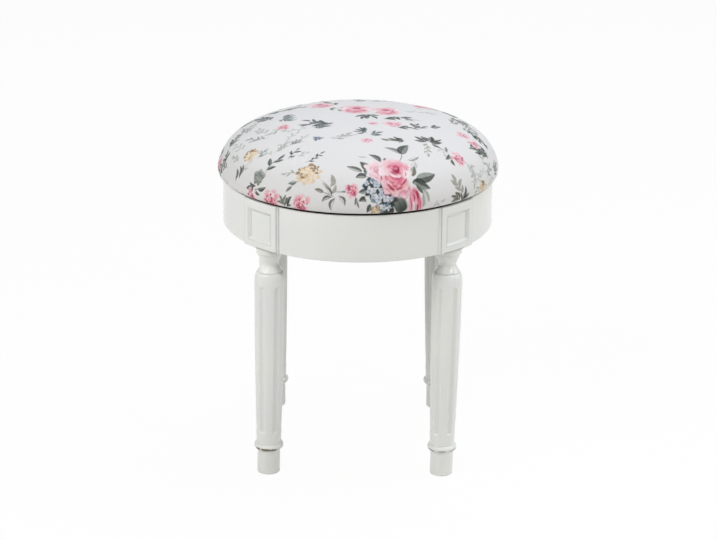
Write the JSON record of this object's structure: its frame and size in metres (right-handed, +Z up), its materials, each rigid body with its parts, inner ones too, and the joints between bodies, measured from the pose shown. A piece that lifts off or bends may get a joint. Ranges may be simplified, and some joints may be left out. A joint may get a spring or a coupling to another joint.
{
  "type": "upholstered dressing stool",
  "caption": "Round dressing stool with a crowned floral cotton seat, a panelled round apron and straight fluted turned legs, painted cream white.",
  "frame": {"origin": "on the floor, below the middle of the seat", "axes": "+Z up, front towards -Y, +X to the right seen from the front"},
  "size_m": [0.3938, 0.3938, 0.4875],
  "materials": {
    "cream_paint": "cream white satin paint on hardwood, lightly rubbed, grey in the crevices",
    "beech": "raw beech dowel",
    "zinc_steel": "bright zinc plate",
    "rose_cotton": "printed plain-weave cotton, off-white ground with roses and sprigs",
    "black_felt": "black non-woven dust cover",
    "plywood": "raw plywood",
    "foam": "open-cell upholstery foam",
    "wadding": "polyester wadding"
  },
  "bodies": {
    "root": {"apron_rail_back": "cream_paint", "apron_rail_front": "cream_paint", "apron_rail_left": "cream_paint", "apron_rail_right": "cream_paint", "dowel_back_left_a_lower": "beech", "dowel_back_left_a_upper": "beech", "dowel_back_left_b_lower": "beech", "dowel_back_left_b_upper": "beech", "dowel_back_right_a_lower": "beech", "dowel_back_right_a_upper": "beech", "dowel_back_right_b_lower": "beech", "dowel_back_right_b_upper": "beech", "dowel_front_left_a_lower": "beech", "dowel_front_left_a_upper": "beech", "dowel_front_left_b_lower": "beech", "dowel_front_left_b_upper": "beech", "dowel_front_right_a_lower": "beech", "dowel_front_right_a_upper": "beech", "dowel_front_right_b_lower": "beech", "dowel_front_right_b_upper": "beech", "dust_cover": "black_felt", "foam_pad": "foam", "hanger_bolt_back_left": "zinc_steel", "hanger_bolt_back_right": "zinc_steel", "hanger_bolt_front_left": "zinc_steel", "hanger_bolt_front_right": "zinc_steel", "leg_back_left": "cream_paint", "leg_back_right": "cream_paint", "leg_block_back_left": "cream_paint", "leg_block_back_right": "cream_paint", "leg_block_front_left": "cream_paint", "leg_block_front_right": "cream_paint", "leg_front_left": "cream_paint", "leg_front_right": "cream_paint", "leg_insert_back_left": "zinc_steel", "leg_insert_back_right": "zinc_steel", "leg_insert_front_left": "zinc_steel", "leg_insert_front_right": "zinc_steel", "rail_screw_back": "zinc_steel", "rail_screw_front": "zinc_steel", "rail_screw_left": "zinc_steel", "rail_screw_right": "zinc_steel", "seat_board": "plywood", "seat_bracket_back": "zinc_steel", "seat_bracket_front": "zinc_steel", "seat_bracket_left": "zinc_steel", "seat_bracket_right": "zinc_steel", "seat_cover": "rose_cotton", "seat_screw_back": "zinc_steel", "seat_screw_front": "zinc_steel", "seat_screw_left": "zinc_steel", "seat_screw_right": "zinc_steel", "wadding": "wadding"}
  },
  "joints": []
}
